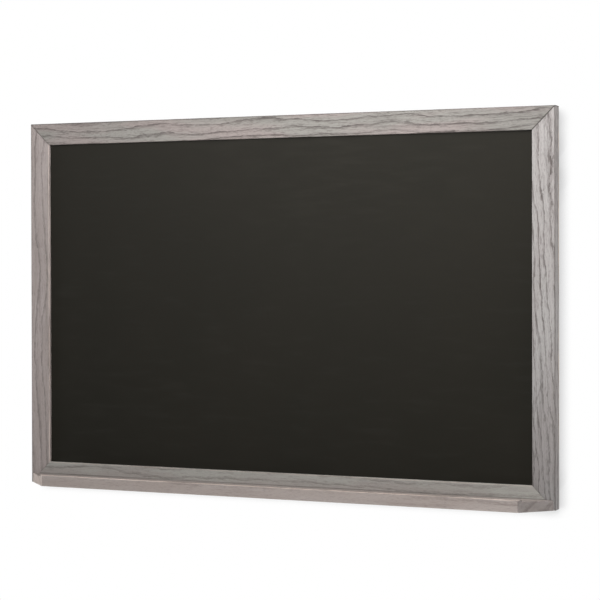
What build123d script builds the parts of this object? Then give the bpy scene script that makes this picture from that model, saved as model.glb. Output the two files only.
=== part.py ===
"""A wall-hung chalkboard in a mitred oak frame, with a chalk tray along its bottom rail.

Millimetres, +Z up, +X to the right as the board is read, and the writing face towards -Y.
The origin is on the wall, behind the centre of the frame: the rubber bumpers touch the plane Y = 0.
"""

import os

from build123d import *

# Frame: mitred moulding with a rabbet for the panel at its inner back edge
BOARD_W = 914.4
BOARD_H = 609.6
RAIL_W = 36.0
FRAME_T = 22.0
LIP_T = 5.5
RABBET_W = 9.0
OUTER_EASE = 2.0
INNER_EASE = 1.0

# Panel: enamelled steel on a fibreboard core, with a thin balancing sheet behind
SHEET_T = 0.5
CORE_T = 6.4
BACKER_T = 0.4
PANEL_GAP = 1.0

# Retainer strips and the brads that pin them in the rabbet
RETAINER_T = 8.0
BRAD_L = 20.0
BRAD_R = 0.6
BRAD_HEAD_R = 1.1
BRAD_HEAD_T = 0.5
BRADS_LONG = 5
BRADS_SHORT = 3
BRAD_END = 70.0

# Mitre joints: a glued biscuit inside, two V-nails across the back and a fine V-groove in front
BISCUIT_L = 33.0
BISCUIT_W = 12.7
BISCUIT_T = 4.0
BISCUIT_INSET = 14.0
BISCUIT_DEPTH = 12.0
GLUE_GAP = 0.15
V_NAIL_LEG = 4.5
V_NAIL_T = 0.8
V_NAIL_L = 7.0
V_NAIL_HALF_ANGLE = 60.0
V_NAIL_SINK = 0.3
V_NAIL_INSETS = (8.0, 19.0)
MITRE_GROOVE_SIDE = 0.7

# Chalk tray: a ledge with a raised front lip, its ends clipped at 45 degrees
TRAY_D = 43.5
TRAY_H = 19.0
TRAY_END_INSET = 3.0
TRAY_LIP_W = 6.0
TRAY_LIP_RISE = 3.5
TRAY_FLOOR_R = 0.8
TRAY_EASE = 1.5

# Screws
SCREW_CLEAR = 0.05
TRAY_SCREW_R = 2.0
TRAY_SCREW_L = 40.0
TRAY_SCREW_HEAD_R = 3.8
TRAY_SCREW_HEAD_T = 2.6
TRAY_SCREW_UP = 7.5
TRAY_SCREW_PITCH = 190.0
TRAY_SCREW_COUNT = 5
COUNTERBORE_R = 5.0
COUNTERBORE_D = 5.0
HANGER_SCREW_R = 1.7
HANGER_SCREW_L = 14.0
HANGER_SCREW_HEAD_R = 3.4
HANGER_SCREW_HEAD_T = 2.2
HANGER_SCREW_DROPS = (24.0, 36.0)
TIP_SHARE = 0.25
RECESS_W = 0.9
RECESS_D = 1.1

# Hangers: a D-ring of round wire in the curled end of a strap
HANGER_X = 443.0
HANGER_Z = 214.8
WIRE_R = 1.5
RING_W = 23.0
RING_L = 16.5
RING_TOP_R = 3.0
RING_BOTTOM_R = 9.0
RING_GAP = 0.4
STRAP_T = 1.2
STRAP_W = 15.0
STRAP_L = 43.5
STRAP_HOLE_R = 2.1
BAR_CLEAR = 0.06
BAR_LIFT = 2.9

# Wall bumpers
BUMPER_R = 6.35
BUMPER_T = 6.0
BUMPER_EASE = 0.8
BUMPER_X = 439.2
BUMPER_Z = 252.8

# Planes across the thickness
BACK_Y = -BUMPER_T
FRONT_Y = BACK_Y - FRAME_T
SHEET_Y = FRONT_Y + LIP_T
CORE_Y = SHEET_Y + SHEET_T
BACKER_Y = CORE_Y + CORE_T
RETAINER_Y = BACKER_Y + BACKER_T
BAR_Y = BACK_Y + BAR_LIFT

# Inner edges of the frame, of its rabbet, and of the panel
OPENING_W = BOARD_W - 2 * RAIL_W
OPENING_H = BOARD_H - 2 * RAIL_W
RABBETED_W = OPENING_W + 2 * RABBET_W
RABBETED_H = OPENING_H + 2 * RABBET_W
PANEL_W = RABBETED_W - 2 * PANEL_GAP
PANEL_H = RABBETED_H - 2 * PANEL_GAP
BOTTOM_Z = -BOARD_H / 2
TRAY_SCREW_Z = BOTTOM_Z + TRAY_SCREW_UP

SIDES = {"left": -1, "right": 1}
CORNERS = {
    "top_left": (-1, 1),
    "top_right": (1, 1),
    "bottom_left": (-1, -1),
    "bottom_right": (1, -1),
}


def slab(width, height, thickness, front_y):
    """A flat sheet in the board's plane, from front_y towards the wall."""
    return Pos(0, front_y + thickness / 2, 0) * Box(width, thickness, height)


def ease(section, corner, radius):
    """The sketch with its vertex nearest to corner rounded."""
    return fillet(section.vertices().sort_by_distance(corner)[0], radius)


def moulding_profile(reach):
    """The frame's section as a (Y, Z) sketch, with its outer edge at height reach."""
    inner = reach - RAIL_W
    rabbet = inner + RABBET_W
    outline = Polyline(
        (BACK_Y, reach),
        (FRONT_Y, reach),
        (FRONT_Y, inner),
        (SHEET_Y, inner),
        (SHEET_Y, rabbet),
        (BACK_Y, rabbet),
        close=True,
    )
    section = ease(make_face(outline), (FRONT_Y, reach), OUTER_EASE)
    return ease(section, (FRONT_Y, inner), INNER_EASE)


def frame_member(length, reach):
    """A mitred member along X, with its outer edge at height reach."""
    bar = extrude(Plane.YZ * moulding_profile(reach), amount=length / 2, both=True)
    inner_half = length / 2 - RAIL_W
    outline = Polyline(
        (-length / 2, reach),
        (length / 2, reach),
        (inner_half, reach - RAIL_W),
        (-inner_half, reach - RAIL_W),
        close=True,
    )
    mitres = extrude(Plane.XZ * make_face(outline), amount=BOARD_W, both=True)
    return bar & mitres


def at_corner(corner, inset, y):
    """A place on a corner's mitre line, with local X pointing out along the line."""
    side_x, side_z = CORNERS[corner]
    x = side_x * (BOARD_W / 2 - inset)
    z = side_z * (BOARD_H / 2 - inset)
    return Plane(origin=(x, y, z), x_dir=(side_x, 0, side_z), z_dir=(0, 1, 0)).location


def biscuit(spare=0.0):
    """A lens-shaped beech biscuit in local XY, grown by spare for its slot."""
    half_l = BISCUIT_L / 2 + 2 * spare
    half_w = BISCUIT_W / 2 + spare
    upper = ThreePointArc((-half_l, 0), (0, half_w), (half_l, 0))
    lower = ThreePointArc((half_l, 0), (0, -half_w), (-half_l, 0))
    return extrude(make_face([upper, lower]), amount=BISCUIT_T / 2 + spare, both=True)


def v_nail_section():
    """A V in local XY whose legs open towards the frame's outer corner."""
    leg_end = Vector(V_NAIL_LEG, 0).rotate(Axis.Z, V_NAIL_HALF_ANGLE)
    legs = Polyline((leg_end.X, leg_end.Y), (0, 0), (leg_end.X, -leg_end.Y))
    return trace(legs, line_width=V_NAIL_T)


def v_nail():
    """A V-nail along local -Z, just below a member's back at the origin."""
    return Pos(0, 0, -V_NAIL_SINK) * extrude(v_nail_section(), amount=-V_NAIL_L)


def v_nail_slot():
    """The slot that a V-nail is driven into, open at the member's back."""
    return extrude(v_nail_section(), amount=-V_NAIL_L - V_NAIL_SINK)


def mitre_groove():
    """A square bar along local X, turned onto its edge, whose inner half cuts the V-groove."""
    return Rot(45, 0, 0) * Box(2 * RAIL_W, MITRE_GROOVE_SIDE, MITRE_GROOVE_SIDE)


def pan_head_screw(radius, length, head_r, head_t):
    """A screw along local -Z, with the underside of its head at the origin."""
    tip_l = length * TIP_SHARE
    shank = Pos(0, 0, (tip_l - length) / 2) * Cylinder(radius, length - tip_l)
    tip = Pos(0, 0, tip_l / 2 - length) * Rot(180, 0, 0) * Cone(radius, radius / 4, tip_l)
    head = Pos(0, 0, head_t / 2) * Cylinder(head_r, head_t)
    head = fillet(head.edges().sort_by(Axis.Z)[-1], head_t * 0.6)
    recess_at = Pos(0, 0, head_t - RECESS_D / 2)
    slot_l = head_r * 0.9
    recess = recess_at * Box(slot_l, RECESS_W, RECESS_D)
    recess += recess_at * Box(RECESS_W, slot_l, RECESS_D)
    return shank + tip + head - recess


def pilot_hole(radius, length):
    """The hole of a screw along local -Z, a little wider and deeper than its shank."""
    depth = length + SCREW_CLEAR
    return Pos(0, 0, -depth / 2) * Cylinder(radius + SCREW_CLEAR, depth)


def from_behind(x, y, z):
    """A place whose local +Z points at the wall, so that a screw there runs to the front."""
    return Pos(x, y, z) * Rot(-90, 0, 0)


def tray_screw_places():
    """The places of the tray's screws, at the bottoms of their counterbores."""
    first = -(TRAY_SCREW_COUNT - 1) / 2
    head_y = BACK_Y - COUNTERBORE_D
    return [
        from_behind((first + i) * TRAY_SCREW_PITCH, head_y, TRAY_SCREW_Z)
        for i in range(TRAY_SCREW_COUNT)
    ]


def hanger_screw_places(side):
    """The places of one hanger's screws, on the back of its strap."""
    return [
        from_behind(side * HANGER_X, BACK_Y + STRAP_T, HANGER_Z - drop)
        for drop in HANGER_SCREW_DROPS
    ]


def brad():
    """A wire brad along local -Z, with the top of its head at the origin."""
    head = Pos(0, 0, -BRAD_HEAD_T / 2) * Cylinder(BRAD_HEAD_R, BRAD_HEAD_T)
    shank = Pos(0, 0, -BRAD_L / 2) * Cylinder(BRAD_R, BRAD_L)
    return head + shank


def brad_hole():
    """The hole that a brad fills, with a little room round its head and shank."""
    head_t = BRAD_HEAD_T + SCREW_CLEAR
    depth = BRAD_L + SCREW_CLEAR
    head = Pos(0, 0, -head_t / 2) * Cylinder(BRAD_HEAD_R + SCREW_CLEAR, head_t)
    shank = Pos(0, 0, -depth / 2) * Cylinder(BRAD_R + SCREW_CLEAR, depth)
    return head + shank


def spread(length, count):
    """Even places along a member, from one end margin to the other."""
    run = length - 2 * BRAD_END
    return [run * (i / (count - 1) - 0.5) for i in range(count)]


def brad_places():
    """The places of all brads, each driven outwards from a strip's inner edge."""
    y = RETAINER_Y + RETAINER_T / 2
    places = []
    for x in spread(OPENING_W, BRADS_LONG):
        places.append(Pos(x, y, OPENING_H / 2) * Rot(180, 0, 0))
        places.append(Pos(x, y, -OPENING_H / 2))
    for z in spread(OPENING_H, BRADS_SHORT):
        places.append(Pos(OPENING_W / 2, y, z) * Rot(0, -90, 0))
        places.append(Pos(-OPENING_W / 2, y, z) * Rot(0, 90, 0))
    return places


def v_nail_places():
    """The places of all V-nails, on the back of the frame."""
    return [
        at_corner(corner, inset, BACK_Y)
        for corner in CORNERS
        for inset in V_NAIL_INSETS
    ]


def frame():
    """The four members, grooved along their mitres and cut for biscuits, nails and screws."""
    members = {
        "top_rail": frame_member(BOARD_W, BOARD_H / 2),
        "bottom_rail": Rot(0, 180, 0) * frame_member(BOARD_W, BOARD_H / 2),
        "left_stile": Rot(0, -90, 0) * frame_member(BOARD_H, BOARD_W / 2),
        "right_stile": Rot(0, 90, 0) * frame_member(BOARD_H, BOARD_W / 2),
    }
    slots = [
        at_corner(corner, BISCUIT_INSET, BACK_Y - BISCUIT_DEPTH) * biscuit(GLUE_GAP)
        for corner in CORNERS
    ]
    slots += [at_corner(corner, RAIL_W / 2, FRONT_Y) * mitre_groove() for corner in CORNERS]
    slots += [place * v_nail_slot() for place in v_nail_places()]
    slots += [place * brad_hole() for place in brad_places()]
    for node in members:
        members[node] -= slots
    counterbore = Pos(0, 0, COUNTERBORE_D / 2) * Cylinder(COUNTERBORE_R, COUNTERBORE_D)
    for place in tray_screw_places():
        members["bottom_rail"] -= place * pilot_hole(TRAY_SCREW_R, TRAY_SCREW_L)
        members["bottom_rail"] -= place * counterbore
    for name, side in SIDES.items():
        for place in hanger_screw_places(side):
            members[f"{name}_stile"] -= place * pilot_hole(HANGER_SCREW_R, HANGER_SCREW_L)
    return members


def panel():
    """The writing sheet, the core behind it and the balancing sheet at the back."""
    return {
        "writing_sheet": slab(PANEL_W, PANEL_H, SHEET_T, SHEET_Y),
        "panel_core": slab(PANEL_W, PANEL_H, CORE_T, CORE_Y),
        "panel_backer": slab(PANEL_W, PANEL_H, BACKER_T, BACKER_Y),
    }


def retainers():
    """Four strips that fill the rabbet behind the panel, the long ones from wall to wall."""
    y = RETAINER_Y + RETAINER_T / 2
    x = (OPENING_W + RABBET_W) / 2
    z = (OPENING_H + RABBET_W) / 2
    long_strip = Box(RABBETED_W, RETAINER_T, RABBET_W)
    short_strip = Box(RABBET_W, RETAINER_T, OPENING_H)
    strips = {
        "retainer_top": Pos(0, y, z) * long_strip,
        "retainer_bottom": Pos(0, y, -z) * long_strip,
        "retainer_left": Pos(-x, y, 0) * short_strip,
        "retainer_right": Pos(x, y, 0) * short_strip,
    }
    holes = [place * brad_hole() for place in brad_places()]
    return {node: strip - holes for node, strip in strips.items()}


def tray_profile():
    """The tray's section as a (Y, Z) sketch: a flat floor behind a raised front lip."""
    tray_front = FRONT_Y - TRAY_D
    lip_back = tray_front + TRAY_LIP_W
    lip_top = BOTTOM_Z + TRAY_H
    floor = lip_top - TRAY_LIP_RISE
    outline = Polyline(
        (FRONT_Y, BOTTOM_Z),
        (tray_front, BOTTOM_Z),
        (tray_front, lip_top),
        (lip_back, lip_top),
        (lip_back, floor),
        (FRONT_Y, floor),
        close=True,
    )
    section = ease(make_face(outline), (lip_back, floor), TRAY_FLOOR_R)
    for corner in ((lip_back, lip_top), (tray_front, lip_top), (tray_front, BOTTOM_Z)):
        section = ease(section, corner, TRAY_EASE)
    return section


def chalk_tray():
    """The tray, clipped at its ends, with the screw holes in its back edge."""
    back_half = BOARD_W / 2 - TRAY_END_INSET
    front_half = back_half - TRAY_D
    front_y = FRONT_Y - TRAY_D
    outline = Polyline(
        (-back_half, FRONT_Y),
        (back_half, FRONT_Y),
        (front_half, front_y),
        (-front_half, front_y),
        close=True,
    )
    plan = extrude(make_face(outline), amount=BOARD_H, both=True)
    ledge = extrude(Plane.YZ * tray_profile(), amount=BOARD_W / 2, both=True)
    tray = ledge & plan
    for place in tray_screw_places():
        tray -= place * pilot_hole(TRAY_SCREW_R, TRAY_SCREW_L)
    return tray


def hanger_strap():
    """A strap on the frame's back, hung below a curl whose axis is local X at the origin."""
    back = -BAR_LIFT
    plate = Pos(0, back + STRAP_T / 2, -STRAP_L / 2) * Box(STRAP_W, STRAP_T, STRAP_L)
    low_corners = plate.edges().filter_by(Axis.Y).sort_by(Axis.Z)[:2]
    plate = fillet(low_corners, STRAP_W / 2 - 0.01)
    for drop in HANGER_SCREW_DROPS:
        plate -= Pos(0, back, -drop) * Rot(90, 0, 0) * Cylinder(STRAP_HOLE_R, 4 * STRAP_T)
    bore_r = WIRE_R + BAR_CLEAR
    curl = Rot(0, 90, 0) * Cylinder(bore_r + STRAP_T, STRAP_W)
    return plate + curl - Rot(0, 90, 0) * Cylinder(bore_r, STRAP_W)


def hanger_ring():
    """A D-ring of round wire hanging from its bar, whose two ends meet inside the curl."""
    half_w = RING_W / 2
    path = FilletPolyline(
        (RING_GAP / 2, 0, 0),
        (half_w, 0, 0),
        (half_w, 0, -RING_L),
        (-half_w, 0, -RING_L),
        (-half_w, 0, 0),
        (-RING_GAP / 2, 0, 0),
        radius=[RING_TOP_R, RING_BOTTOM_R, RING_BOTTOM_R, RING_TOP_R],
    )
    start = Plane(origin=path @ 0, z_dir=path % 0)
    return sweep(start * Circle(WIRE_R), path=path)


def bumper():
    """A rubber disc with an eased rim on its wall side, its wall face at local Y = 0."""
    disc = Pos(0, -BUMPER_T / 2, 0) * Rot(90, 0, 0) * Cylinder(BUMPER_R, BUMPER_T)
    rim = disc.edges().filter_by(GeomType.CIRCLE).sort_by(Axis.Y)[-1]
    return fillet(rim, BUMPER_EASE)


def hangers():
    """A strap and its ring on the back of each stile."""
    nodes = {}
    for name, side in SIDES.items():
        bar_at = Pos(side * HANGER_X, BAR_Y, HANGER_Z)
        nodes[f"hanger_strap_{name}"] = bar_at * hanger_strap()
        nodes[f"hanger_ring_{name}"] = bar_at * hanger_ring()
    return nodes


def corner_pieces():
    """A biscuit in each mitre and a bumper near each corner."""
    nodes = {}
    for corner, (side_x, side_z) in CORNERS.items():
        slot_at = at_corner(corner, BISCUIT_INSET, BACK_Y - BISCUIT_DEPTH)
        nodes[f"biscuit_{corner}"] = slot_at * biscuit()
        nodes[f"bumper_{corner}"] = Pos(side_x * BUMPER_X, 0, side_z * BUMPER_Z) * bumper()
    return nodes


def fasteners():
    """Groups of identical fasteners, one node for each kind."""
    tray_screw = pan_head_screw(
        TRAY_SCREW_R, TRAY_SCREW_L, TRAY_SCREW_HEAD_R, TRAY_SCREW_HEAD_T
    )
    hanger_screw = pan_head_screw(
        HANGER_SCREW_R, HANGER_SCREW_L, HANGER_SCREW_HEAD_R, HANGER_SCREW_HEAD_T
    )
    hanger_places = hanger_screw_places(-1) + hanger_screw_places(1)
    return {
        "tray_screws": [place * tray_screw for place in tray_screw_places()],
        "hanger_screws": [place * hanger_screw for place in hanger_places],
        "retainer_brads": [place * brad() for place in brad_places()],
        "v_nails": [place * v_nail() for place in v_nail_places()],
    }


def write_nodes():
    """Writes each node to parts/NODE.step, a group of fasteners as one compound."""
    os.makedirs("parts", exist_ok=True)
    nodes = {**frame(), **panel(), **retainers(), **hangers(), **corner_pieces()}
    nodes["chalk_tray"] = chalk_tray()
    for node, solids in fasteners().items():
        nodes[node] = Compound(children=solids)
    for node, shape in nodes.items():
        shape.label = node
        export_step(shape, f"parts/{node}.step")


write_nodes()
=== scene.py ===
import math

import bpy
from mathutils import Matrix, Vector


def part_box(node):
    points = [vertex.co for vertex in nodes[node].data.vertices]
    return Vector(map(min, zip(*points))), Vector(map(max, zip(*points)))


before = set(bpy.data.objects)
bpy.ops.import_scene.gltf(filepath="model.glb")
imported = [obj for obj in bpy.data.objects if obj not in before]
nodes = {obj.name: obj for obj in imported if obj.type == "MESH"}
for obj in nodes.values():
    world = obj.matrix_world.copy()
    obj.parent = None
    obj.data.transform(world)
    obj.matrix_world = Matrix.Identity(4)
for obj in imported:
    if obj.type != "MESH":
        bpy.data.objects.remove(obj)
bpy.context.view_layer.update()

# Edges of the frame and the tray, for the painted shade and painted highlight along them (wear too on
# the tray's lip)
FRAME_LOW, FRAME_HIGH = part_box("top_rail")
STILE_LOW, STILE_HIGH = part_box("right_stile")
TRAY_LOW, TRAY_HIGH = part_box("chalk_tray")
SHEET_LOW, SHEET_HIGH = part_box("writing_sheet")
FRONT_Y, BACK_Y = FRAME_LOW.y, FRAME_HIGH.y
HALF_W, HALF_H = STILE_HIGH.x, STILE_HIGH.z
RAIL_W = FRAME_HIGH.z - FRAME_LOW.z
OPENING_HALF_W, OPENING_HALF_H = HALF_W - RAIL_W, HALF_H - RAIL_W
TRAY_FLOOR_Z = TRAY_HIGH.z - 0.0035
# The tray's lip edge, for its painted highlight and its wear
TRAY_LIP_HIGHLIGHT_AND_WEAR = (TRAY_HIGH.z + 0.0003, TRAY_LOW.y + 0.0010)

# Room
WALL_Y = 0.0004
WALL_HALF_W = 2.4
WALL_TOP = 1.7
FLOOR_Z = -1.3
FLOOR_HALF = 3.0
ROOM_LIGHT = 0.16

# Camera, from where the board is seen square-on vertically and 23 degrees round to its right
CAMERA_AT = Vector((1.1315, -2.5971, 0.0741))
CAMERA_YAW = math.radians(22.999)
CAMERA_PITCH = -0.00759
CAMERA_ROLL = -0.00207
CAMERA_LENS = 105.06
CAMERA_SHIFT_Y = -0.0458


class Graph:
    """A material's node tree, with a short call for each kind of node that it uses."""

    def __init__(self, name):
        self.material = bpy.data.materials.new(name)
        self.material.use_nodes = True
        self.nodes = self.material.node_tree.nodes
        self.links = self.material.node_tree.links
        self.nodes.clear()

    def add(self, kind, inputs=None, **settings):
        """A node with these settings, whose inputs are sockets to link or values to set."""
        node = self.nodes.new(kind)
        for key, value in settings.items():
            setattr(node, key, value)
        for key, value in (inputs or {}).items():
            if isinstance(value, bpy.types.NodeSocket):
                self.links.new(value, node.inputs[key])
            elif value is not None:
                node.inputs[key].default_value = value
        return node

    def place(self):
        """The point in metres, in the board's own frame."""
        return self.add("ShaderNodeTexCoord").outputs["Object"]

    def axes(self, vector):
        """The three parts of a vector."""
        return self.add("ShaderNodeSeparateXYZ", {0: vector}).outputs[:]

    def vector(self, x, y, z):
        return self.add("ShaderNodeCombineXYZ", {0: x, 1: y, 2: z}).outputs[0]

    def math(self, operation, a, b=None):
        return self.add("ShaderNodeMath", {0: a, 1: b}, operation=operation).outputs[0]

    def scaled(self, vector, scale):
        return self.add("ShaderNodeVectorMath", {0: vector, 1: scale}, operation="MULTIPLY").outputs[0]

    def length(self, vector):
        return self.add("ShaderNodeVectorMath", {0: vector}, operation="LENGTH").outputs["Value"]

    def ring_line(self, radius, spacing):
        """1 at the sharp start of each growth ring, fading to 0 half way across it."""
        turn = self.math("FRACT", self.math("DIVIDE", radius, spacing))
        return self.math("MULTIPLY", self.ease(turn, 0.0, 0.45, 1.0, 0.0), self.ease(turn, 0.0, 0.05))

    def noise(self, vector, scale=1.0, detail=2.0, roughness=0.5):
        """Noise from 0 to 1, most of it between 0.3 and 0.7."""
        inputs = {"Vector": vector, "Scale": scale, "Detail": detail, "Roughness": roughness}
        return self.add("ShaderNodeTexNoise", inputs).outputs["Fac"]

    def ease(self, value, low, high, to_low=0.0, to_high=1.0):
        """The value carried smoothly from the range low..high to to_low..to_high."""
        inputs = {0: value, 1: low, 2: high, 3: to_low, 4: to_high}
        return self.add("ShaderNodeMapRange", inputs, interpolation_type="SMOOTHSTEP").outputs[0]

    def mix(self, factor, a, b, blend="MIX"):
        """Two colours mixed."""
        inputs = {0: factor, 6: a, 7: b}
        node = self.add("ShaderNodeMix", inputs, data_type="RGBA", blend_type=blend)
        return node.outputs[2]

    def bump(self, height, distance, normal=None):
        inputs = {"Height": height, "Distance": distance, "Normal": normal}
        return self.add("ShaderNodeBump", inputs).outputs[0]

    def one_sided(self, shader):
        """The material, showing this shader from the front only and nothing from behind."""
        clear = self.add("ShaderNodeBsdfTransparent")
        behind = self.add("ShaderNodeNewGeometry").outputs["Backfacing"]
        both = self.add("ShaderNodeMixShader", {0: behind, 1: shader.outputs[0], 2: clear.outputs[0]})
        self.add("ShaderNodeOutputMaterial", {0: both.outputs[0]})
        return self.material

    def finish(self, **inputs):
        """The surface shader, with its inputs by name, and the material."""
        named = {key.replace("_", " ").title(): value for key, value in inputs.items()}
        named = {key.replace("Ior", "IOR"): value for key, value in named.items()}
        shader = self.add("ShaderNodeBsdfPrincipled", named)
        self.add("ShaderNodeOutputMaterial", {0: shader.outputs[0]})
        return self.material


def srgb(red, green, blue):
    """A colour given as 0-255 values, as linear light with full alpha."""
    def linear(level):
        level /= 255
        return level / 12.92 if level <= 0.04045 else ((level + 0.055) / 1.055) ** 2.4
    return (linear(red), linear(green), linear(blue), 1.0)


def oak(name, along, pith, seed, light, tint, dark, ring, drift, figure, tones_and_light, edges, end_lighting=(1, 1)):
    """Grey-stained open-grained oak, with its grain along X or Z.

    pith is where the middle of the tree lies, across and behind the face. figure is how strongly
    the growth rings show at the low and the high end. tones_and_light is how much lighter or darker
    the piece is painted at the low end, the middle and the high end: its stain's tone together with
    painted light and shade along it. edges holds (across, Y, highlight share, shade share) for each
    edge lightened with a painted highlight (also wear on the tray's lip) or darkened with painted
    shade. end_lighting is how much lighter or darker the end grain at -X and +X is painted beside
    the rest, as painted light and shade.
    """
    g = Graph(name)
    x, y, z = g.axes(g.place())
    u, v = (x, z) if along == "X" else (z, x)
    half = HALF_W if along == "X" else HALF_H
    grain = g.vector(g.math("ADD", u, seed), v, y)

    # Growth rings round the pith, which wanders along the board
    sway = g.noise(g.scaled(grain, (4.5, 9.0, 9.0)), detail=1.0)
    ripple = g.noise(g.scaled(grain, (22.0, 60.0, 60.0)), detail=1.0)
    jitter = g.noise(g.scaled(grain, (110.0, 420.0, 420.0)), detail=3.0, roughness=0.65)
    across = g.math("SUBTRACT", v, pith[0])
    across = g.math("ADD", across, g.math("MULTIPLY", u, drift))
    across = g.math("ADD", across, g.ease(sway, 0.25, 0.75, -0.007, 0.007))
    radius = g.length(g.vector(across, g.math("SUBTRACT", y, pith[1]), 0.0))
    radius = g.math("ADD", radius, g.ease(ripple, 0.25, 0.75, -0.0016, 0.0016))
    radius = g.math("ADD", radius, g.ease(jitter, 0.25, 0.75, -0.0006, 0.0006))
    early = g.ring_line(radius, ring)
    faint = g.ring_line(g.math("ADD", radius, 0.0017), ring * 0.37)

    # Open pores: short dark flecks, crowded in the early wood
    coarse = g.noise(g.scaled(grain, (75.0, 520.0, 520.0)), detail=2.0, roughness=0.6)
    fine = g.noise(g.scaled(grain, (170.0, 1500.0, 1500.0)), detail=2.0, roughness=0.6)
    flecks = g.ease(g.math("ADD", coarse, g.math("MULTIPLY", early, 0.15)), 0.53, 0.70)
    pores = g.ease(g.math("ADD", fine, g.math("MULTIPLY", early, 0.10)), 0.53, 0.68)

    # Stain: long streaks, warm and green-grey patches, darker where the wood is open
    streaks = g.noise(g.scaled(grain, (7.0, 120.0, 120.0)), detail=4.0, roughness=0.6)
    patches = g.noise(g.scaled(grain, (6.0, 36.0, 36.0)), detail=2.0)
    strength = g.noise(g.scaled(grain, (9.0, 50.0, 50.0)), detail=1.0)
    shade = g.mix(g.ease(patches, 0.38, 0.62), light, tint)
    shade = g.mix(g.ease(streaks, 0.5, 0.75, 0.0, 0.35), shade, dark)
    rings_show = g.ease(u, -half, half, *figure)
    shade = g.mix(g.math("MULTIPLY", faint, g.math("MULTIPLY", rings_show, 0.24)), shade, dark)
    open_wood = g.math("ADD", g.math("MULTIPLY", flecks, 0.45), 0.55)
    depth = g.math("MULTIPLY", g.ease(strength, 0.30, 0.58, 0.35, 1.0), open_wood)
    depth = g.math("MULTIPLY", depth, rings_show)
    shade = g.mix(g.math("MULTIPLY", early, depth), shade, dark)
    shade = g.mix(g.math("MULTIPLY", flecks, 0.18 + 0.2 * figure[1]), shade, dark)
    shade = g.mix(g.math("MULTIPLY", pores, 0.30), shade, srgb(96, 89, 85))

    # Painted light and shade along the piece, together with the stain's slow change in tone, and painted
    # light and shade on the end grain
    low, middle, high = tones_and_light
    place = g.math("DIVIDE", u, half)
    tone_and_light = g.math("MULTIPLY", place, (high + low) / 2 - middle)
    tone_and_light = g.math("MULTIPLY", g.math("ADD", tone_and_light, (high - low) / 2), place)
    tone_and_light = g.math("ADD", tone_and_light, middle)
    # Painted light and shade on the end grain: one end painted lighter, the other darker
    if end_lighting != (1, 1):
        facing = g.axes(g.add("ShaderNodeTexCoord").outputs["Normal"])[0]
        left_end_lighting = g.ease(facing, -0.6, -0.4, end_lighting[0], 1.0)
        right_end_lighting = g.ease(facing, 0.4, 0.6, 1.0, end_lighting[1])
        tone_and_light = g.math("MULTIPLY", tone_and_light, g.math("MULTIPLY", left_end_lighting, right_end_lighting))
    shade = g.mix(1.0, shade, tone_and_light, blend="MULTIPLY")

    # Painted highlight along some edges (wear too on the tray's lip), painted shade along others, mitres
    # where the stain has gathered, and the back left bare
    patchy = g.noise(g.scaled(grain, (20.0, 90.0, 90.0)), detail=3.0)
    # Colours of the painted highlight (also bare wood worn through on the tray's lip) and of the painted
    # shade, which is also the stain gathered in the mitres
    highlight_and_wear = g.mix(g.ease(streaks, 0.35, 0.65), srgb(222, 206, 197), srgb(206, 188, 178))
    shade_and_stain = srgb(84, 78, 75)
    # Each edge is darkened with painted shade by its shade share and lightened with a painted highlight
    # by its highlight share
    for edge_across, edge_y, highlight_and_wear_share, painted_shade_share in edges:
        side = g.math("SUBTRACT", g.math("ABSOLUTE", v), abs(edge_across))
        gap = g.length(g.vector(side, g.math("SUBTRACT", y, edge_y), 0.0))
        if painted_shade_share:
            shade = g.mix(g.ease(gap, 0.0006, 0.0024, painted_shade_share, 0.0), shade, shade_and_stain)
        if highlight_and_wear_share:
            near = g.ease(gap, 0.0007, 0.0026, highlight_and_wear_share, 0.0)
            near = g.math("MULTIPLY", near, g.ease(patchy, 0.32, 0.58, 0.45, 1.0))
            shade = g.mix(near, shade, highlight_and_wear)
    mitre = g.math("SUBTRACT", g.math("ABSOLUTE", x), g.math("ABSOLUTE", z))
    mitre = g.math("ABSOLUTE", g.math("SUBTRACT", mitre, HALF_W - HALF_H))
    filled = g.math("MULTIPLY", g.ease(z, 0.0, HALF_H, 0.10, 0.95), g.ease(x, -HALF_W, HALF_W, 0.5, 1.0))
    filled = g.math("MULTIPLY", g.ease(mitre, 0.0006, 0.0018, 1.0, 0.0), filled)
    shade = g.mix(filled, shade, shade_and_stain)
    bare = g.mix(g.ease(streaks, 0.35, 0.65), srgb(208, 180, 154), srgb(190, 160, 132))
    bare = g.mix(g.math("MULTIPLY", g.math("MAXIMUM", early, flecks), 0.4), bare, srgb(140, 114, 94))
    fuzzy_y = g.math("ADD", y, g.ease(patchy, 0.3, 0.7, -0.0012, 0.0012))
    back = g.ease(fuzzy_y, BACK_Y - 0.0022, BACK_Y - 0.0004)
    spray = g.ease(patches, 0.35, 0.7, 1.0, 0.65)
    shade = g.mix(g.math("MULTIPLY", back, spray), shade, bare)

    height = g.math("ADD", g.math("MULTIPLY", early, 0.4), g.math("ADD", flecks, pores))
    relief = g.bump(height, -0.00016)
    tooth = g.noise(g.scaled(grain, (500.0, 2600.0, 2600.0)), detail=2.0)
    relief = g.bump(tooth, 0.00005, normal=relief)
    sheen = g.math("ADD", g.ease(streaks, 0.3, 0.7, 0.46, 0.58), g.math("MULTIPLY", flecks, 0.18))
    return g.finish(base_color=shade, roughness=sheen, normal=relief)


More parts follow.
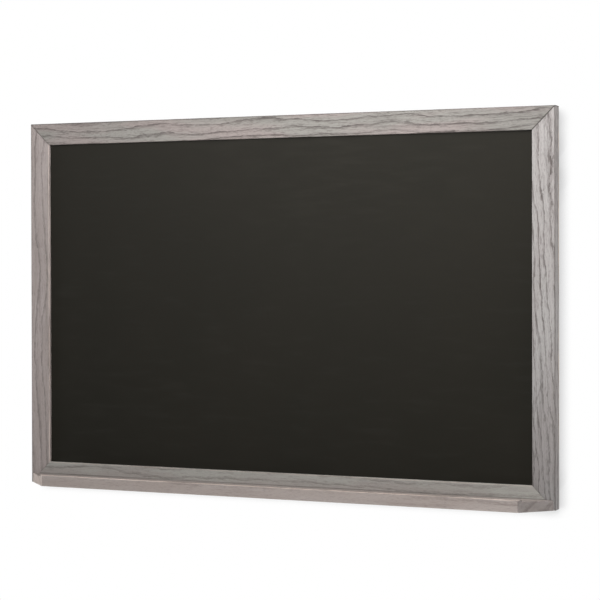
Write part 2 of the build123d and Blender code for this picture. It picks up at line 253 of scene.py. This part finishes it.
def enamel():
    """The writing surface: matt baked enamel, near black, with a faint haze from wiping."""
    g = Graph("writing_enamel")
    place = g.place()
    haze = g.noise(g.scaled(place, (5.0, 5.0, 3.2)), detail=3.0, roughness=0.55)
    wipes = g.noise(g.scaled(place, (14.0, 1.0, 90.0)), detail=3.0)
    speck = g.noise(place, scale=1400.0, detail=2.0)
    shade = g.mix(g.ease(haze, 0.3, 0.7), (0.0068, 0.0063, 0.0042, 1.0), (0.0086, 0.0076, 0.0052, 1.0))
    shade = g.mix(g.ease(wipes, 0.5, 0.75, 0.0, 0.06), shade, (0.05, 0.05, 0.047, 1.0))
    shade = g.mix(g.ease(speck, 0.5, 0.8, 0.0, 0.10), shade, (0.04, 0.037, 0.033, 1.0))
    peel = g.bump(g.noise(place, scale=900.0, detail=2.0), 0.00004)
    relief = g.bump(g.noise(place, scale=3200.0, detail=1.0), 0.00002, normal=peel)
    rough = g.ease(wipes, 0.3, 0.7, 0.45, 0.50)
    return g.finish(
        base_color=shade,
        roughness=rough,
        specular_ior_level=0.26,
        specular_tint=(1.0, 0.95, 0.84, 1.0),
        normal=relief,
    )


def fibreboard():
    """Pressed wood fibre: brown, with matted fibres."""
    g = Graph("fibreboard")
    place = g.place()
    mat = g.noise(place, scale=420.0, detail=5.0, roughness=0.7)
    cloud = g.noise(place, scale=35.0, detail=3.0)
    shade = g.mix(g.ease(mat, 0.3, 0.7), srgb(104, 80, 58), srgb(142, 114, 86))
    shade = g.mix(g.ease(cloud, 0.35, 0.7, 0.0, 0.35), shade, srgb(88, 66, 48))
    relief = g.bump(mat, 0.0002)
    return g.finish(base_color=shade, roughness=g.ease(mat, 0.3, 0.7, 0.75, 0.9), normal=relief)


def backing():
    """The balancing sheet on the panel's back: pale grey-beige paper laminate, a little scuffed."""
    g = Graph("backing_sheet")
    place = g.place()
    fibre = g.noise(g.scaled(place, (900.0, 900.0, 260.0)), detail=3.0, roughness=0.65)
    cloud = g.noise(place, scale=9.0, detail=4.0)
    scuff = g.noise(g.scaled(place, (30.0, 30.0, 220.0)), detail=4.0, roughness=0.7)
    shade = g.mix(g.ease(cloud, 0.3, 0.7), srgb(174, 168, 156), srgb(167, 160, 148))
    shade = g.mix(g.ease(fibre, 0.45, 0.75, 0.0, 0.45), shade, srgb(142, 134, 120))
    shade = g.mix(g.ease(scuff, 0.62, 0.78, 0.0, 0.5), shade, srgb(204, 200, 190))
    relief = g.bump(fibre, 0.00006)
    return g.finish(base_color=shade, roughness=g.ease(scuff, 0.4, 0.7, 0.62, 0.5), normal=relief)


def softwood(name, along, seed):
    """Plain pine or spruce strip, with soft early and darker late wood."""
    g = Graph(name)
    x, y, z = g.axes(g.place())
    u, v = (x, z) if along == "X" else (z, x)
    grain = g.vector(g.math("ADD", u, seed), v, y)
    sway = g.noise(g.scaled(grain, (4.0, 20.0, 20.0)), detail=2.0)
    rings = g.math("ADD", g.math("MULTIPLY", v, 420.0), g.math("MULTIPLY", y, 260.0))
    rings = g.math("FRACT", g.math("ADD", rings, g.ease(sway, 0.2, 0.8, -2.0, 2.0)))
    late = g.math("MULTIPLY", g.ease(rings, 0.35, 0.92), g.ease(rings, 0.93, 1.0, 1.0, 0.0))
    fibre = g.noise(g.scaled(grain, (60.0, 1500.0, 1500.0)), detail=3.0)
    shade = g.mix(g.math("MULTIPLY", late, 0.75), srgb(206, 180, 142), srgb(170, 128, 84))
    shade = g.mix(g.ease(fibre, 0.5, 0.75, 0.0, 0.4), shade, srgb(150, 118, 82))
    relief = g.bump(g.math("ADD", late, fibre), 0.00010)
    return g.finish(base_color=shade, roughness=g.ease(fibre, 0.3, 0.7, 0.55, 0.7), normal=relief)


def beech():
    """Compressed beech: pale, with short rays."""
    g = Graph("beech")
    place = g.place()
    rays = g.noise(g.scaled(place, (700.0, 2400.0, 700.0)), detail=2.0)
    cloud = g.noise(place, scale=160.0, detail=3.0)
    shade = g.mix(g.ease(cloud, 0.3, 0.7), srgb(205, 172, 132), srgb(188, 152, 112))
    shade = g.mix(g.ease(rays, 0.58, 0.72, 0.0, 0.6), shade, srgb(146, 104, 70))
    relief = g.bump(rays, -0.00008)
    return g.finish(base_color=shade, roughness=g.ease(cloud, 0.3, 0.7, 0.5, 0.62), normal=relief)


def zinc(name, light, dark, brush):
    """Bright zinc-plated steel with a fine drawn or pressed surface and dull spots."""
    g = Graph(name)
    place = g.place()
    bloom = g.noise(place, scale=260.0, detail=4.0, roughness=0.65)
    drawn = g.noise(g.scaled(place, brush), detail=2.0)
    spots = g.noise(place, scale=1300.0, detail=2.0)
    shade = g.mix(g.ease(bloom, 0.32, 0.68), light, dark)
    shade = g.mix(g.ease(spots, 0.62, 0.76, 0.0, 0.55), shade, srgb(120, 116, 108))
    relief = g.bump(drawn, 0.00004)
    relief = g.bump(bloom, 0.00005, normal=relief)
    rough = g.math("ADD", g.ease(bloom, 0.3, 0.7, 0.24, 0.42), g.ease(spots, 0.6, 0.8, 0.0, 0.2))
    return g.finish(base_color=shade, metallic=1.0, roughness=rough, normal=relief)


def rubber():
    """Moulded grey-black rubber with dust in its pores."""
    g = Graph("rubber")
    place = g.place()
    pits = g.noise(place, scale=2200.0, detail=3.0)
    dust = g.noise(place, scale=190.0, detail=4.0)
    shade = g.mix(g.ease(dust, 0.4, 0.75), srgb(38, 37, 36), srgb(74, 72, 69))
    shade = g.mix(g.ease(pits, 0.6, 0.75, 0.0, 0.5), shade, srgb(22, 22, 22))
    relief = g.bump(pits, 0.00010)
    return g.finish(base_color=shade, roughness=g.ease(dust, 0.3, 0.7, 0.62, 0.8), normal=relief)


def dress(material, *names):
    """These CAD nodes wear this material and nothing else."""
    for name in names:
        mesh = nodes[name].data
        mesh.materials.clear()
        mesh.materials.append(material)


# The edge lists paint shade along the outer front edges and where the tray meets the bottom rail, and a
# highlight along the inner edges of the left stile and bottom rail and along the tray's front edges,
# worn too at its lip
top_oak = oak(
    "oak_top", "X", (HALF_H + 0.034, 0.004), 0.0,
    light=srgb(170, 158, 154), tint=srgb(162, 158, 152), dark=srgb(98, 90, 87),
    ring=0.0105, drift=-0.006, figure=(0.55, 1.15), tones_and_light=(0.84, 1.08, 0.80),
    edges=[(HALF_H, FRONT_Y, 0.0, 0.45)],
)
bottom_oak = oak(
    "oak_bottom", "X", (-HALF_H - 0.030, 0.020), 3.7,
    light=srgb(166, 164, 158), tint=srgb(158, 152, 147), dark=srgb(120, 114, 109),
    ring=0.0115, drift=0.012, figure=(0.50, 0.45), tones_and_light=(0.92, 1.04, 1.00),
    edges=[(OPENING_HALF_H, FRONT_Y, 0.30, 0.0), (TRAY_FLOOR_Z, FRONT_Y, 0.0, 0.5)],
)
left_oak = oak(
    "oak_left", "Z", (-HALF_W - 0.040, 0.010), 1.3,
    light=srgb(171, 160, 157), tint=srgb(163, 152, 148), dark=srgb(120, 110, 107),
    ring=0.0125, drift=0.01, figure=(0.50, 0.75), tones_and_light=(0.92, 0.97, 1.12),
    edges=[(HALF_W, FRONT_Y, 0.0, 0.5), (OPENING_HALF_W, FRONT_Y, 0.55, 0.0)],
)
right_oak = oak(
    "oak_right", "Z", (HALF_W + 0.020, 0.004), 5.1,
    light=srgb(176, 172, 170), tint=srgb(169, 163, 161), dark=srgb(92, 84, 81),
    ring=0.0070, drift=0.055, figure=(0.60, 1.15), tones_and_light=(0.62, 1.00, 1.10),
    edges=[(HALF_W, FRONT_Y, 0.0, 0.75)],
)
tray_oak = oak(
    "oak_tray", "X", (-HALF_H - 0.070, 0.030), 7.9,
    light=srgb(174, 163, 158), tint=srgb(168, 156, 150), dark=srgb(134, 121, 116),
    ring=0.0190, drift=0.01, figure=(0.15, 0.15), tones_and_light=(0.90, 1.0, 1.03), end_lighting=(2.08, 0.43),
    edges=[
        (*TRAY_LIP_HIGHLIGHT_AND_WEAR, 1.0, 0.0),
        (TRAY_LOW.z, TRAY_LOW.y, 0.25, 0.0),
        (TRAY_FLOOR_Z, FRONT_Y, 0.0, 0.5),
    ],
)
dress(top_oak, "top_rail")
dress(bottom_oak, "bottom_rail")
dress(left_oak, "left_stile")
dress(right_oak, "right_stile")
dress(tray_oak, "chalk_tray")
dress(enamel(), "writing_sheet")
dress(fibreboard(), "panel_core")
dress(backing(), "panel_backer")
dress(softwood("softwood_rail", "X", 0.0), "retainer_top", "retainer_bottom")
dress(softwood("softwood_stile", "Z", 2.0), "retainer_left", "retainer_right")
dress(beech(), *[name for name in nodes if name.startswith("biscuit_")])
dress(rubber(), *[name for name in nodes if name.startswith("bumper_")])
dress(
    zinc("zinc_pressed", srgb(196, 198, 200), srgb(168, 170, 172), (300.0, 300.0, 2600.0)),
    "hanger_strap_left",
    "hanger_strap_right",
)
dress(
    zinc("zinc_wire", srgb(204, 205, 206), srgb(172, 173, 174), (2600.0, 2600.0, 500.0)),
    "hanger_ring_left",
    "hanger_ring_right",
)
dress(
    zinc("zinc_screw", srgb(206, 200, 178), srgb(176, 168, 144), (1800.0, 1800.0, 1800.0)),
    "hanger_screws",
    "tray_screws",
)
dress(
    zinc("steel_nail", srgb(158, 158, 158), srgb(120, 120, 121), (2200.0, 2200.0, 2200.0)),
    "retainer_brads",
    "v_nails",
)


def sheet_object(name, corners, material):
    """A flat four-cornered stage piece."""
    mesh = bpy.data.meshes.new(name)
    mesh.from_pydata(corners, [], [range(4)])
    mesh.materials.append(material)
    made = bpy.data.objects.new(name, mesh)
    bpy.context.scene.collection.objects.link(made)
    return made


def wall_paint():
    """White wall that glows evenly from its front, with a painted shadow where the board's right side
    and foot shelter it.
    """
    g = Graph("stage_wall_paint")
    aim = g.vector(-0.50, -0.50, 0.70)
    shelter = g.add("ShaderNodeAmbientOcclusion", {"Distance": 0.024, "Normal": aim}, samples=16)
    glow = g.add("ShaderNodeEmission", {1: g.ease(shelter.outputs["AO"], 0.30, 0.92, 0.48, 1.0)})
    return g.one_sided(glow)


def floor_paint():
    """Pale studio floor, seen as evenly bright and slightly mottled."""
    g = Graph("stage_floor_paint")
    mottle = g.noise(g.place(), scale=6.0, detail=3.0)
    shade = g.mix(g.ease(mottle, 0.3, 0.7), (0.80, 0.80, 0.79, 1.0), (0.84, 0.84, 0.83, 1.0))
    lit = g.add("ShaderNodeBsdfDiffuse", {0: shade})
    seen = g.add("ShaderNodeEmission", {0: shade, 1: 1.08})
    path = g.add("ShaderNodeLightPath").outputs["Is Camera Ray"]
    return g.one_sided(g.add("ShaderNodeMixShader", {0: path, 1: lit.outputs[0], 2: seen.outputs[0]}))


def light(name, at, aim, size, power):
    """A rectangular soft light."""
    data = bpy.data.lights.new(name, "AREA")
    data.shape = "RECTANGLE"
    data.size, data.size_y = size
    data.energy = power
    lamp = bpy.data.objects.new(name, data)
    lamp.location = at
    lamp.rotation_euler = (Vector(aim) - Vector(at)).to_track_quat("-Z", "Y").to_euler()
    lamp.visible_camera = False
    bpy.context.scene.collection.objects.link(lamp)


def room_light(strength):
    """Even grey light from all round; the camera itself sees white."""
    world = bpy.data.worlds.new("studio")
    world.use_nodes = True
    tree = world.node_tree
    tree.nodes.clear()
    seen = tree.nodes.new("ShaderNodeBackground")
    seen.inputs[1].default_value = 1.0
    seen.inputs[0].default_value = (1.0, 1.0, 1.0, 1.0)
    lit = tree.nodes.new("ShaderNodeBackground")
    lit.inputs[0].default_value = (1.0, 1.0, 1.0, 1.0)
    lit.inputs[1].default_value = strength
    path = tree.nodes.new("ShaderNodeLightPath")
    both = tree.nodes.new("ShaderNodeMixShader")
    out = tree.nodes.new("ShaderNodeOutputWorld")
    tree.links.new(path.outputs["Is Camera Ray"], both.inputs[0])
    tree.links.new(lit.outputs[0], both.inputs[1])
    tree.links.new(seen.outputs[0], both.inputs[2])
    tree.links.new(both.outputs[0], out.inputs[0])
    bpy.context.scene.world = world


def camera():
    """The camera, at the yaw, pitch and roll above."""
    ahead = Vector((
        -math.sin(CAMERA_YAW) * math.cos(CAMERA_PITCH),
        math.cos(CAMERA_YAW) * math.cos(CAMERA_PITCH),
        math.sin(CAMERA_PITCH),
    ))
    level = Vector((math.cos(CAMERA_YAW), math.sin(CAMERA_YAW), 0.0))
    above = level.cross(ahead)
    right = math.cos(CAMERA_ROLL) * level + math.sin(CAMERA_ROLL) * above
    up = math.cos(CAMERA_ROLL) * above - math.sin(CAMERA_ROLL) * level
    data = bpy.data.cameras.new("camera")
    data.lens = CAMERA_LENS
    data.sensor_width = 36.0
    data.shift_y = CAMERA_SHIFT_Y
    made = bpy.data.objects.new("camera", data)
    turn = Matrix((right, up, -ahead)).transposed().to_4x4()
    made.matrix_world = Matrix.Translation(CAMERA_AT) @ turn
    bpy.context.scene.collection.objects.link(made)
    bpy.context.scene.camera = made


wall = sheet_object(
    "stage_wall",
    [
        (-WALL_HALF_W, WALL_Y, FLOOR_Z),
        (WALL_HALF_W, WALL_Y, FLOOR_Z),
        (WALL_HALF_W, WALL_Y, WALL_TOP),
        (-WALL_HALF_W, WALL_Y, WALL_TOP),
    ],
    wall_paint(),
)
wall.visible_diffuse = False
wall.visible_glossy = False
wall.visible_transmission = False
wall.visible_shadow = False
sheet_object(
    "stage_floor",
    [
        (-FLOOR_HALF, -FLOOR_HALF, FLOOR_Z),
        (FLOOR_HALF, -FLOOR_HALF, FLOOR_Z),
        (FLOOR_HALF, FLOOR_HALF, FLOOR_Z),
        (-FLOOR_HALF, FLOOR_HALF, FLOOR_Z),
    ],
    floor_paint(),
)

room_light(ROOM_LIGHT)
light("front_soft", (-0.75, -2.40, 0.75), (0.0, 0.0, 0.0), (1.1, 0.8), 22.5)
light("upper_right", (0.75, -0.90, 1.00), (0.3, 0.0, 0.1), (0.6, 0.5), 14.0)
light("left_graze", (-2.30, -0.45, 0.20), (0.0, 0.0, -0.05), (0.7, 1.2), 7.5)
light("right_graze", (2.30, -0.50, -0.05), (0.0, 0.0, -0.1), (0.7, 1.2), 8.0)
light("right_edge", (1.50, -0.25, -0.50), (0.45, 0.0, -0.30), (0.3, 0.7), 6.0)
light("back_soft", (-0.35, 2.40, 0.45), (0.0, 0.0, 0.0), (0.9, 1.2), 38.0)
light("back_low", (0.20, 1.90, -0.50), (0.0, 0.0, 0.0), (0.4, 0.8), 16.0)
camera()
bpy.context.scene.view_settings.view_transform = "Standard"
bpy.context.scene.view_settings.look = "None"
